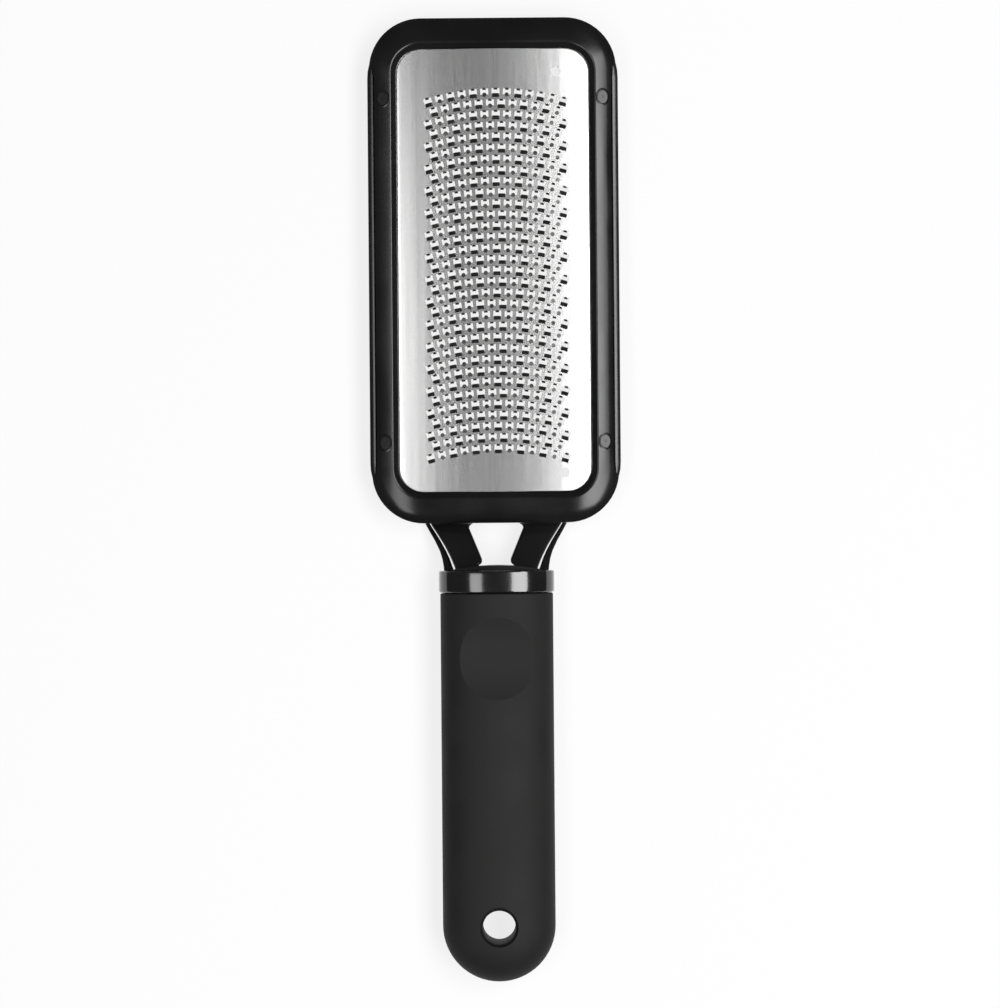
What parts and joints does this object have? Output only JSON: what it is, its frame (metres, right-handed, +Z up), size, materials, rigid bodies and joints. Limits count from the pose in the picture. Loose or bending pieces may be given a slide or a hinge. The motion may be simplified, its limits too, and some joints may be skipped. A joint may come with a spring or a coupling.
{
  "type": "foot file",
  "caption": "Hand foot file: perforated steel rasp plate clamped in a gloss frame, forked neck, collar, and oval soft grip with thumb dish and hanging hole.",
  "frame": {"origin": "middle of the footprint, on the plane that the back of the head and the collar rest on", "axes": "+X across to the right as seen from the rasp side, +Y along the handle towards the head's tip, +Z up out of the rasp face"},
  "size_m": [0.0676, 0.26, 0.0183],
  "materials": {
    "steel": "satin stainless steel, pierced and toothed",
    "gloss_black": "smooth gloss black moulding",
    "soft_grip": "matte dark grey soft-touch rubber"
  },
  "bodies": {
    "root": {"rasp_plate": "steel", "front_frame": "gloss_black", "back_frame": "gloss_black", "frame_pins": "gloss_black", "collar": "gloss_black", "handle_core": "gloss_black", "grip_sleeve": "soft_grip"}
  },
  "joints": []
}
